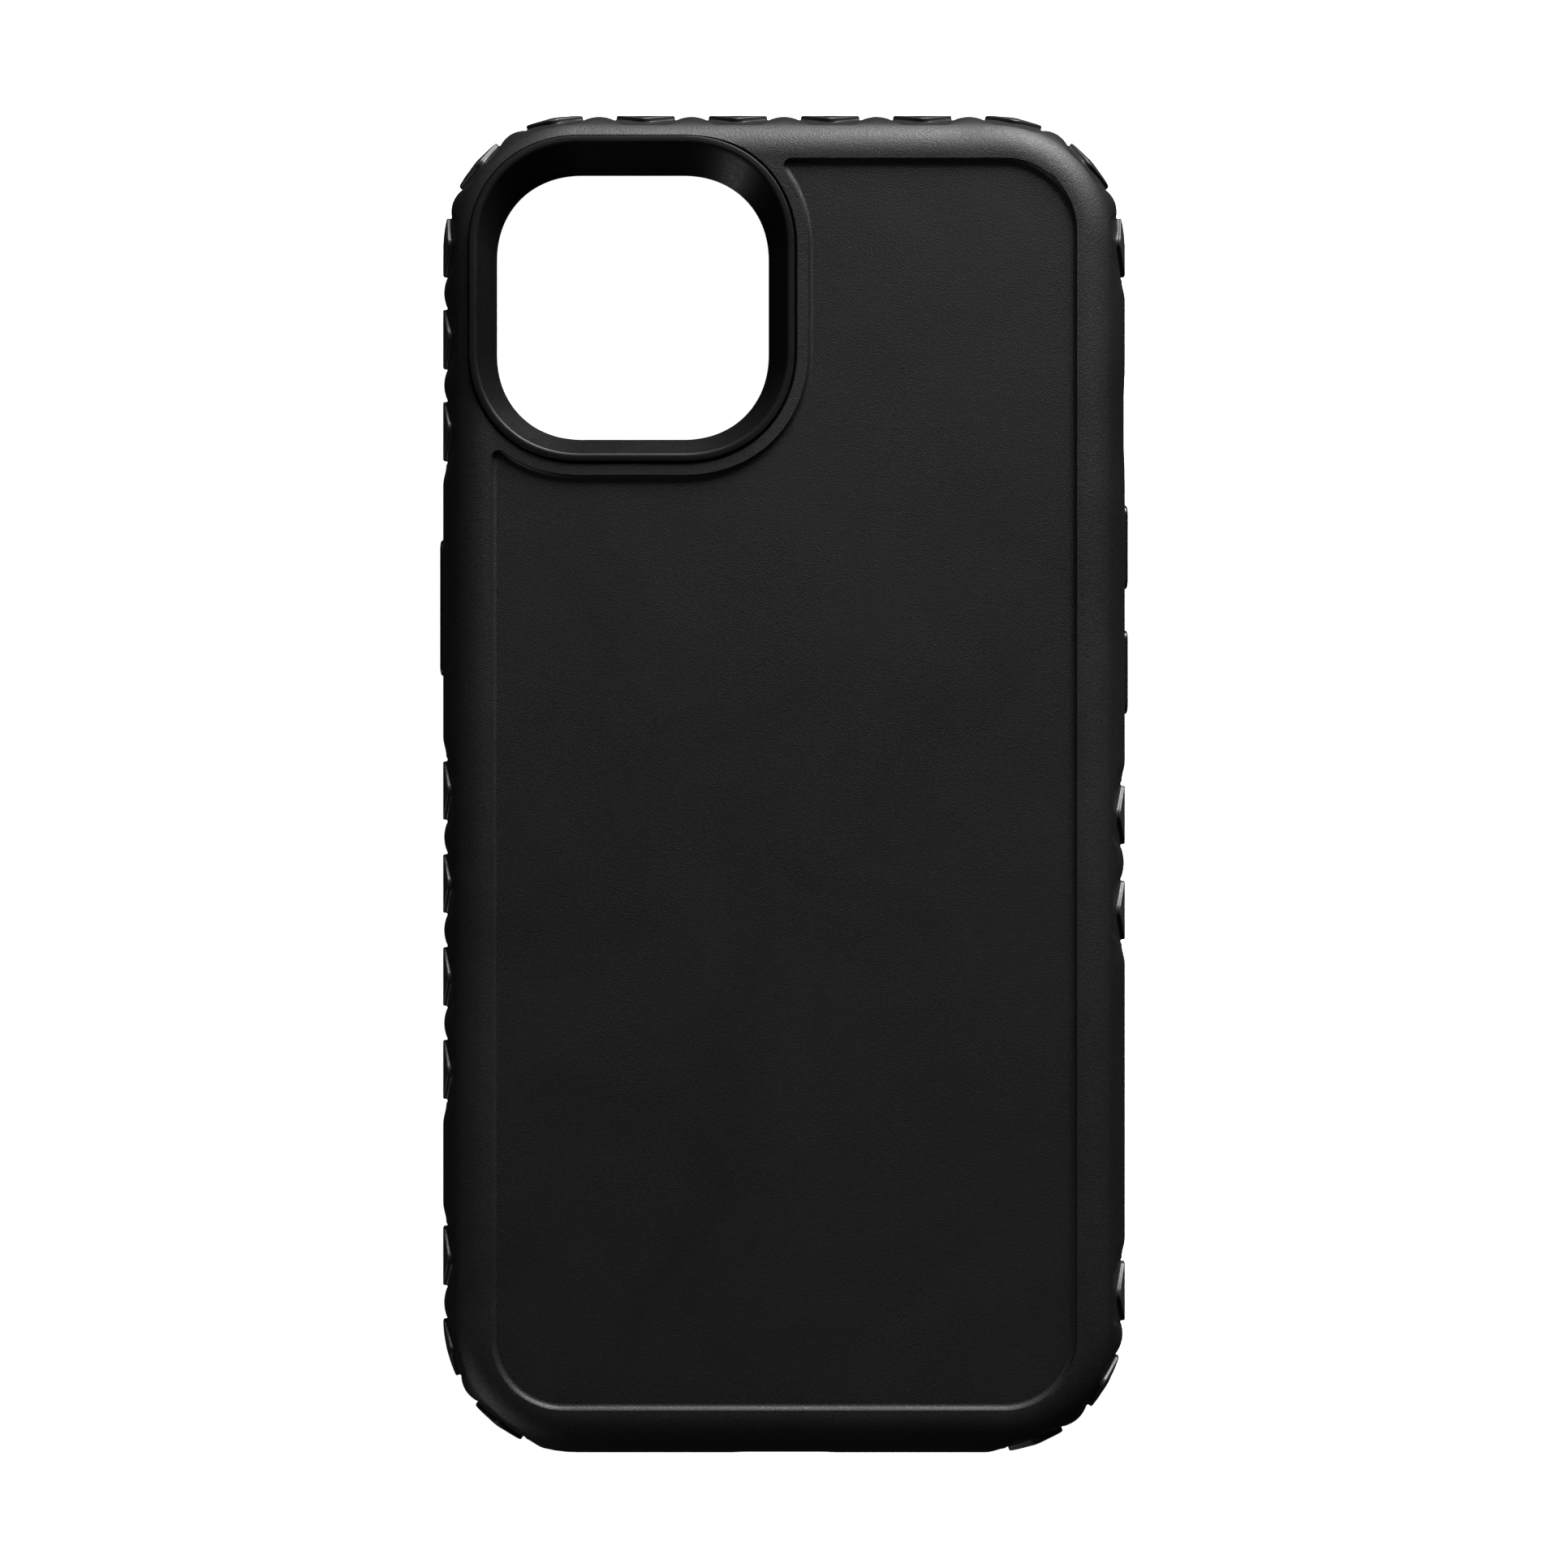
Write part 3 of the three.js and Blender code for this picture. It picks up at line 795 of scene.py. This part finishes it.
def outer_frame():
    """The rigid bumper: crowned rim, pocketed walls, flange round the panel and lip round the screen."""
    shell = loft_object("bumper_frame", wall_grid())
    cutters = [cavity_cutter(), screen_cutter(), recess_cutter(), camera_cutter(), *port_cutters()]
    cutters += [button_window(node) for node in BUTTONS]
    cutters += [button_room(node) for node in BUTTONS]
    return smooth(cut(shell, cutters))


# (inset from the step's foot, height) from the hidden flange up to the flat of the panel.
PANEL_EDGE = [
    (-1.8, PANEL_BOTTOM),
    (-1.8, PANEL_BOTTOM + FLANGE_THICK),
    (0.12, PANEL_BOTTOM + FLANGE_THICK),
    (0.02, PANEL_TOP - 0.3),
    (0.02, PANEL_TOP - 0.012),
    (0.032, PANEL_TOP),
]


def back_panel():
    """The recessed panel, a hair's breadth inside the foot of the step."""
    loop = recess_loop()
    rings = [at_height(inset_loop(loop, STEP_WIDTH + inset), z) for inset, z in PANEL_EDGE]
    return smooth(loft_object("back_plate", rings))


LINER_LOW = 1.65
LINER_INSET = 2.35
LINER_ROUND = 1.2  # radius of the liner's rounded back edge
LINER_WINDOW = 1.05  # how far the liner stands back from the camera window
BAY_INSET = 3.3
# (inset from the case's outline, height) of the bay for the phone, from its mouth to its floor.
BAY_ROWS = [
    (BAY_INSET - 0.5, LINER_LOW - 0.4),
    (BAY_INSET - 0.2, LINER_LOW + 0.15),
    (BAY_INSET, LINER_LOW + 0.5),
    (BAY_INSET, BAY_TOP - 0.4),
    (BAY_INSET + 0.15, BAY_TOP - 0.12),
    (BAY_INSET + 0.45, BAY_TOP),
]


def inner_liner():
    """The soft tray that holds the phone."""
    shoulder = LINER_TOP - LINER_ROUND
    rows = [(LINER_INSET, LINER_LOW), (LINER_INSET, shoulder)]
    rows += [
        (LINER_INSET + LINER_ROUND * (1 - math.cos(a)), shoulder + LINER_ROUND * math.sin(a))
        for a in np.radians(range(15, 91, 15))
    ]
    tray = loft_object("liner_tray", [at_height(outline_ring(inset), z) for inset, z in rows])
    bay = loft_object("bay", [at_height(outline_ring(inset), z) for inset, z in BAY_ROWS])
    window_rows = (BAY_TOP - PAST, LINER_TOP + PAST)
    window = loft_object("window", [at_height(window_ring(LINER_WINDOW), z) for z in window_rows])
    rooms = [button_room(node) for node in BUTTONS]
    return smooth(cut(tray, [bay, window, *port_cutters(), *rooms]))


BEZEL_FLANGE = 0.6
BEZEL_SKIRT = 0.8
FLANGE_INSET = 3.8
BEZEL_CREST = 1.0
THROAT_END = 0.97  # the throat's last ring, as a share of the way to the crest
BEZEL_FOOT = 0.1  # the lowest ring of the bezel's wall, over its flange
# (inset from the bezel's outline, drop from its top) over the lip, from the crest outwards.
BEZEL_LIP = [
    (1.0, 0.31),
    (0.95, 0.21),
    (0.87, 0.11),
    (0.77, 0.045),
    (0.66, 0.012),
    (0.54, 0.0),
    (0.35, 0.012),
    (0.15, 0.03),
    (0.06, 0.045),
    (0.02, 0.075),
    (0.0, 0.13),
    (0.0, 0.3),
]


def camera_bezel():
    """The raised frame round the camera window: a flared throat, a rounded lip and a hidden flange."""
    window = window_ring(0)
    crest = bezel_ring(-BEZEL_CREST)
    crest_z = BEZEL_TOP - BEZEL_LIP[0][1]
    rings = []
    for share in np.linspace(0, THROAT_END, 10):
        plan = window * (1 - share) + crest * share
        rings.append(at_height(plan, BAY_TOP + (crest_z - BAY_TOP) * share))
    rings += [at_height(bezel_ring(-inset), BEZEL_TOP - drop) for inset, drop in BEZEL_LIP]
    wall = bezel_ring(0)
    flange = wall + (bezel_ring(1) - wall) * flange_reach(wall)[:, None]
    flange_low, flange_top = PANEL_BOTTOM, PANEL_BOTTOM + FLANGE_THICK
    rings += [at_height(wall, flange_top + BEZEL_FOOT), at_height(wall, flange_top)]
    rings += [at_height(flange, flange_top), at_height(flange, flange_low)]
    rings += [at_height(window_ring(BEZEL_SKIRT), z) for z in (flange_low, BAY_TOP)]
    return smooth(loft_object("camera_surround", rings, "torus"))


def flange_reach(ring):
    """How far the bezel's hidden flange stands out along a ring, to stay inside the frame's crown."""
    return np.clip(inset_of(ring) - FLANGE_INSET, 0.02, BEZEL_FLANGE)


# ---- keys ----------------------------------------------------------------------------------------------

NUB_INNER = -3.1
NUB_SHARE = 0.45  # the nub's length as a share of the key's
NUB_RISE = 0.9
NUB_CORNER = 0.3
KEY_FLANGE_INNER = -2.05
KEY_FLANGE_OUTER = -1.5
# (outward place, inset from the key's outline) over the part that is seen.
KEY_FACE = [
    (KEY_FLANGE_OUTER, 0.0),
    (0.02, 0.0),
    (0.12, 0.015),
    (0.2, 0.06),
    (0.265, 0.13),
    (0.31, 0.23),
    (0.335, 0.36),
    (0.345, 0.55),
    (0.35, 0.9),
    (0.352, 1.3),
]


def key(node):
    """A press key: the nub that reaches the phone, the flange that keeps it in, and the domed face."""
    face, half = button_place(node)
    low = BUTTON_MIDDLE - BUTTON_HEIGHT / 2
    high = BUTTON_MIDDLE + BUTTON_HEIGHT / 2

    def row(out, grow):
        return wall_ring(half, low, high, BUTTON_CORNER, face, out, grow, 8)

    def nub_row(out):
        nub_low, nub_high = BUTTON_MIDDLE - NUB_RISE, BUTTON_MIDDLE + NUB_RISE
        return wall_ring(half * NUB_SHARE, nub_low, nub_high, NUB_CORNER, face, out, 0, 8)

    nub = [nub_row(out) for out in (NUB_INNER, KEY_FLANGE_INNER)]
    flange = [row(out, BUTTON_MARGIN) for out in (KEY_FLANGE_INNER, KEY_FLANGE_OUTER)]
    rings = nub + flange + [row(out, -inset) for out, inset in KEY_FACE]
    return smooth(loft_object(node + "_cap", rings, "fans"), degrees=40)


# ---- materials -----------------------------------------------------------------------------------------


class Nodes:
    """A material's node tree, with short calls for the nodes used here. Textures work in millimetres."""

    def __init__(self, name):
        self.material = bpy.data.materials.new(name)
        self.material.use_nodes = True
        self.tree = self.material.node_tree
        self.shader = self.tree.nodes["Principled BSDF"]
        self.place = self.tree.nodes.new("ShaderNodeTexCoord").outputs["Object"]

    def node(self, kind, **settings):
        made = self.tree.nodes.new(kind)
        for name, value in settings.items():
            setattr(made, name, value)
        return made

    def feed(self, socket, value):
        if isinstance(value, bpy.types.NodeSocket):
            self.tree.links.new(value, socket)
        else:
            socket.default_value = value

    def mapped(self, stretch=(1, 1, 1), turn=0.0):
        """Places in millimetres, stretched and turned about the upright axis."""
        turned = self.node("ShaderNodeMapping")
        self.feed(turned.inputs["Vector"], self.place)
        turned.inputs["Rotation"].default_value = (0, 0, math.radians(turn))
        made = self.node("ShaderNodeMapping")
        self.feed(made.inputs["Vector"], turned.outputs["Vector"])
        made.inputs["Scale"].default_value = [s / MM for s in stretch]
        return made.outputs["Vector"]

    def noise(self, vector, scale, detail=3.0, roughness=0.55, distortion=0.0):
        made = self.node("ShaderNodeTexNoise")
        self.feed(made.inputs["Vector"], vector)
        self.feed(made.inputs["Scale"], scale)
        self.feed(made.inputs["Detail"], detail)
        self.feed(made.inputs["Roughness"], roughness)
        self.feed(made.inputs["Distortion"], distortion)
        return made.outputs["Fac"]

    def cells(self, vector, scale):
        made = self.node("ShaderNodeTexVoronoi", feature="SMOOTH_F1")
        self.feed(made.inputs["Vector"], vector)
        self.feed(made.inputs["Scale"], scale)
        self.feed(made.inputs["Smoothness"], 0.6)
        return made.outputs["Distance"]

    def math(self, operation, a, b):
        made = self.node("ShaderNodeMath", operation=operation)
        self.feed(made.inputs[0], a)
        self.feed(made.inputs[1], b)
        return made.outputs[0]

    def ranged(self, value, from_low, from_high, to_low, to_high):
        made = self.node("ShaderNodeMapRange", clamp=True)
        for name, given in (
            ("Value", value),
            ("From Min", from_low),
            ("From Max", from_high),
            ("To Min", to_low),
            ("To Max", to_high),
        ):
            self.feed(made.inputs[name], given)
        return made.outputs["Result"]

    def mixed(self, share, a, b):
        made = self.node("ShaderNodeMix", data_type="RGBA")
        self.feed(made.inputs["Factor"], share)
        self.feed(made.inputs["A"], a)
        self.feed(made.inputs["B"], b)
        return made.outputs["Result"]

    def bump(self, height, distance):
        made = self.node("ShaderNodeBump")
        self.feed(made.inputs["Height"], height)
        self.feed(made.inputs["Distance"], distance * MM)
        return made.outputs["Normal"]

    def above(self, low, high):
        """How far a place's height in millimetres lies from low to high, from 0 to 1."""
        made = self.node("ShaderNodeSeparateXYZ")
        self.feed(made.inputs[0], self.place)
        return self.ranged(made.outputs["Z"], low * MM, high * MM, 0.0, 1.0)

    def edges(self, low, high):
        """How much a point lies on a raised edge, from 0 to 1."""
        made = self.node("ShaderNodeNewGeometry")
        return self.ranged(made.outputs["Pointiness"], low, high, 0.0, 1.0)


HANDLING = 0.06  # how much fingers have polished the plastic here and there, as a swing in roughness
HANDLED_PATCH = 0.045  # such patches and the flecks, as a number of them to a millimetre
FLECK = 2.4
FLECK_SWING = 0.04
GRAIN_STRETCH = (1.0, 0.6, 1.0)
GRAIN_TURN = 120
GRAIN_FADE = 0.9  # height over which the grain comes in
EDGE_RANGE = (0.52, 0.62)  # pointiness of an edge that starts to wear, and of one that is fully worn


def moulded(
    name, colour, worn, roughness, specular, grain, grain_depth, smooth_up_to=None, edges_worn=True
):
    """Black moulded polymer. grain is the pebbles' size in millimetres, and smooth_up_to the height in
    millimetres at which the grain starts, if it doesn't cover the whole piece. Edge wear is left off a piece
    with one very large face, because it would be drawn out in streaks over that face."""
    m = Nodes(name)
    leather = m.mapped(GRAIN_STRETCH, turn=GRAIN_TURN)
    pebbles = m.cells(leather, 1.0 / grain)
    fibres = m.noise(leather, 1.1 / grain, detail=2.0, roughness=0.5, distortion=0.3)
    height = m.math("ADD", m.math("MULTIPLY", pebbles, 0.7), fibres)
    if smooth_up_to is not None:
        height = m.math("MULTIPLY", height, m.above(smooth_up_to, smooth_up_to + GRAIN_FADE))
    hands = m.noise(m.mapped(), HANDLED_PATCH, detail=5.0, roughness=0.6, distortion=0.8)
    flecks = m.noise(m.mapped(), FLECK, detail=2.0)
    rough = m.ranged(hands, 0.3, 0.7, roughness - HANDLING, roughness + HANDLING)
    rough = m.math("ADD", rough, m.ranged(flecks, 0.3, 0.7, -FLECK_SWING, FLECK_SWING))
    tone = m.mixed(m.ranged(height, 0.5, 1.2, 0.0, 0.35), (*colour, 1), (*worn, 1))
    if edges_worn:
        wear = m.math("MULTIPLY", m.edges(*EDGE_RANGE), m.ranged(flecks, 0.35, 0.65, 0.2, 1.0))
        tone = m.mixed(wear, tone, (*worn, 1))
    m.feed(m.shader.inputs["Base Color"], tone)
    m.feed(m.shader.inputs["Roughness"], rough)
    m.feed(m.shader.inputs["Specular IOR Level"], specular)
    m.feed(m.shader.inputs["Normal"], m.bump(height, grain_depth))
    return m.material


def frame_finish():
    """The frame's grained plastic. The grain fades out down the side walls."""
    return moulded(
        "bumper_black",
        colour=(0.006, 0.006, 0.0064),
        worn=(0.022, 0.022, 0.023),
        roughness=0.49,
        specular=0.48,
        grain=0.14,
        grain_depth=0.026,
        smooth_up_to=10.4,
    )


def panel_finish():
    """The panel's grained plastic, a little duller."""
    return moulded(
        "plate_black",
        colour=(0.0053, 0.0053, 0.0056),
        worn=(0.018, 0.018, 0.019),
        roughness=0.56,
        specular=0.35,
        grain=0.14,
        grain_depth=0.03,
        edges_worn=False,
    )


def liner_finish():
    """The liner's dull, soft rubber."""
    return moulded(
        "liner_black",
        colour=(0.009, 0.009, 0.0095),
        worn=(0.018, 0.018, 0.018),
        roughness=0.7,
        specular=0.35,
        grain=0.5,
        grain_depth=0.01,
    )


def bezel_finish():
    """The camera ring's smooth, deep black plastic."""
    return moulded(
        "surround_black",
        colour=(0.003, 0.003, 0.003),
        worn=(0.01, 0.01, 0.01),
        roughness=0.42,
        specular=0.3,
        grain=0.12,
        grain_depth=0.004,
    )


def tread_rubber_painted_reflection():
    """The lugs' smooth, glossy rubber. Its black base colour is lightened to a dark grey as a painted
    reflection of the pale floor, which the lugs' downward-sloping faces would mirror.
    """
    return moulded(
        "tread_black_painted_reflection",
        # painted reflection: this grey stands in for the pale floor mirrored in the lugs' faces
        colour=(0.026, 0.026, 0.026),
        worn=(0.04, 0.04, 0.04),
        roughness=0.36,
        specular=0.5,
        grain=0.16,
        grain_depth=0.003,
    )


def key_finish():
    """The keys' smooth gloss."""
    return moulded(
        "key_black",
        colour=(0.006, 0.006, 0.006),
        worn=(0.018, 0.018, 0.018),
        roughness=0.26,
        specular=0.5,
        grain=0.12,
        grain_depth=0.003,
    )


# ---- the pieces ----------------------------------------------------------------------------------------

FINISHES = {
    "frame": frame_finish(),
    "panel": panel_finish(),
    "liner": liner_finish(),
    "bezel": bezel_finish(),
    "tread": tread_rubber_painted_reflection(),
    "key": key_finish(),
}


def add_piece(piece, node, slot, body="case"):
    """Puts the piece in the CAD node's place."""
    piece.data.materials.clear()
    piece.data.materials.append(FINISHES[slot])
    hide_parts(node)
    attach(piece, body)


add_piece(outer_frame(), "outer_frame", "frame")
add_piece(back_panel(), "back_panel", "panel")
add_piece(inner_liner(), "inner_liner", "liner")
add_piece(camera_bezel(), "camera_bezel", "bezel")
for strip in STRIPS:
    add_piece(smooth(tread_strip(strip), degrees=40), strip, "tread")
for node, body in (
    ("side_button", "side_key"),
    ("volume_up_button", "volume_up_key"),
    ("volume_down_button", "volume_down_key"),
):
    add_piece(key(node), node, "key", body)

# ---- stage, light and camera ---------------------------------------------------------------------------

STAGE_HALF = 2000.0  # millimetres
DOME_SHARE = 0.98  # the dome's radius as a share of the floor's half width
DOME_SINK = 1.0  # how far the dome's foot lies under the floor


def pale_paint():
    """White paint that glows a little, as a lit table does."""
    paint = bpy.data.materials.new("stage_white")
    paint.use_nodes = True
    shader = paint.node_tree.nodes["Principled BSDF"]
    shader.inputs["Base Color"].default_value = (0.9, 0.9, 0.9, 1)
    shader.inputs["Roughness"].default_value = 1.0
    shader.inputs["Specular IOR Level"].default_value = 0.0
    shader.inputs["Emission Color"].default_value = (1, 1, 1, 1)
    shader.inputs["Emission Strength"].default_value = 1.0
    return paint


def stand(piece, paint):
    """Puts a piece of the stage in place. It is seen, but it throws no light on the case."""
    piece.data.materials.append(paint)
    piece.visible_glossy = False
    piece.visible_diffuse = False


def pale_stage():
    """A plain pale floor, and a dome over it that lets all light through."""
    paint = pale_paint()
    corners = np.array([(-1, -1, 0), (1, -1, 0), (1, 1, 0), (-1, 1, 0)]) * STAGE_HALF
    stand(new_object("floor", corners, [(0, 1, 2, 3)]), paint)
    rings = []
    for lift in np.radians(range(0, 88, 8)):
        radius = STAGE_HALF * DOME_SHARE * math.cos(lift)
        height = STAGE_HALF * math.sin(lift) - DOME_SINK
        rings.append(at_height(rounded_box(radius, radius, radius), height))
    dome = loft_object("backdrop", rings)
    dome.visible_shadow = False
    stand(dome, paint)


# (name, azimuth, elevation, distance, width, height, power), in degrees, metres and watts. Azimuth runs from
# +X towards +Y.
LIGHTS = [
    ("key_softbox", 71, 18, 1.1, 0.78, 0.46, 26.0),
    ("fill_softbox", 92, 50, 1.2, 0.7, 0.6, 1.1),
    ("rim_softbox", 228, 8, 0.8, 0.2, 0.1, 0.6),
]


def softbox(name, azimuth, elevation, distance, width, height, power):
    """A rectangular light that faces the case."""
    light = bpy.data.lights.new(name, "AREA")
    light.shape = "RECTANGLE"
    light.size, light.size_y = width, height
    light.energy = power
    lamp = bpy.data.objects.new(name, light)
    turn, lift = math.radians(azimuth), math.radians(elevation)
    away = Vector((math.cos(turn) * math.cos(lift), math.sin(turn) * math.cos(lift), math.sin(lift)))
    lamp.location = away * distance
    lamp.rotation_euler = away.to_track_quat("Z", "Y").to_euler()
    bpy.context.scene.collection.objects.link(lamp)


ROOM_LIFT = (0.1, 0.9)  # upward part of a direction near the horizon, and of one overhead
ROOM_GLOW = (0.015, 0.026)  # the room's brightness in those two directions


def studio_world():
    """A dim room, a little brighter overhead, so that the flat faces stay deep black."""
    world = bpy.data.worlds.new("studio")
    world.use_nodes = True
    tree = world.node_tree
    place = tree.nodes.new("ShaderNodeTexCoord")
    split = tree.nodes.new("ShaderNodeSeparateXYZ")
    ramp = tree.nodes.new("ShaderNodeMapRange")
    tree.links.new(place.outputs["Generated"], split.inputs[0])
    tree.links.new(split.outputs["Z"], ramp.inputs["Value"])
    ramp.inputs["From Min"].default_value = ROOM_LIFT[0]
    ramp.inputs["From Max"].default_value = ROOM_LIFT[1]
    ramp.inputs["To Min"].default_value = ROOM_GLOW[0]
    ramp.inputs["To Max"].default_value = ROOM_GLOW[1]
    backdrop = tree.nodes["Background"]
    tree.links.new(ramp.outputs["Result"], backdrop.inputs["Strength"])
    backdrop.inputs["Color"].default_value = (1, 1, 1, 1)
    bpy.context.scene.world = world


LENS = 60.5  # millimetres
SENSOR = 36
VIEW_HEIGHT = 0.31  # metres over the table


def camera():
    """Straight above the case's middle, as the back is seen square on."""
    lens = bpy.data.cameras.new("camera")
    lens.lens = LENS
    lens.sensor_width = SENSOR
    lens.clip_start = 0.01
    lens.clip_end = 20
    view = bpy.data.objects.new("camera", lens)
    view.location = (0, 0, VIEW_HEIGHT)
    bpy.context.scene.collection.objects.link(view)
    bpy.context.scene.camera = view


pale_stage()
studio_world()
for light in LIGHTS:
    softbox(*light)
camera()
bpy.context.scene.view_settings.view_transform = "Standard"
